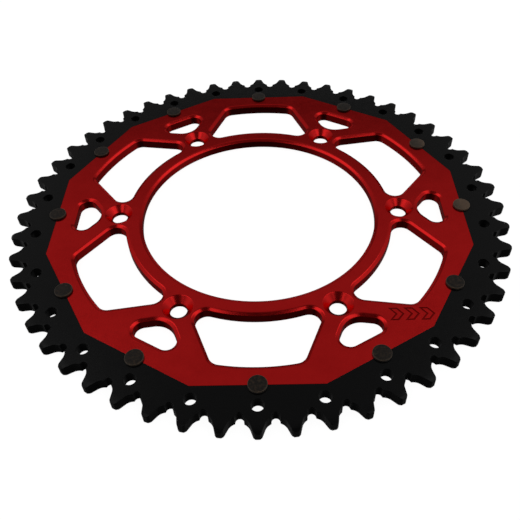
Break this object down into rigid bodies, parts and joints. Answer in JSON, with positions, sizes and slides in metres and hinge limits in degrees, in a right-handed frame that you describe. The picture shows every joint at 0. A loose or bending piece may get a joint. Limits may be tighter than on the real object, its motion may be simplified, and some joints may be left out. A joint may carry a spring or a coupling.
{
  "type": "motorcycle rear sprocket",
  "caption": "Rear chain sprocket: a red anodised aluminium carrier with a hub bore and lightening windows, riveted inside a black steel tooth ring.",
  "frame": {"origin": "on the sprocket's axis, in the plane of the flat back face that seats on the hub", "axes": "+Z along the sprocket's axis, out of the countersunk front face; the centre of a tooth, a hub bolt and a rivet lie on +X"},
  "size_m": [0.2676, 0.2676, 0.0072],
  "materials": {
    "red_anodised_aluminium": "deep red anodised, satin",
    "black_steel": "black oxide, satin",
    "bronzed_steel": "dark bronze, satin"
  },
  "bodies": {
    "root": {"carrier": "red_anodised_aluminium", "tooth_ring": "black_steel", "rivet_01": "bronzed_steel", "rivet_02": "bronzed_steel", "rivet_03": "bronzed_steel", "rivet_04": "bronzed_steel", "rivet_05": "bronzed_steel", "rivet_06": "bronzed_steel", "rivet_07": "bronzed_steel", "rivet_08": "bronzed_steel", "rivet_09": "bronzed_steel", "rivet_10": "bronzed_steel", "rivet_11": "bronzed_steel", "rivet_12": "bronzed_steel"}
  },
  "joints": []
}
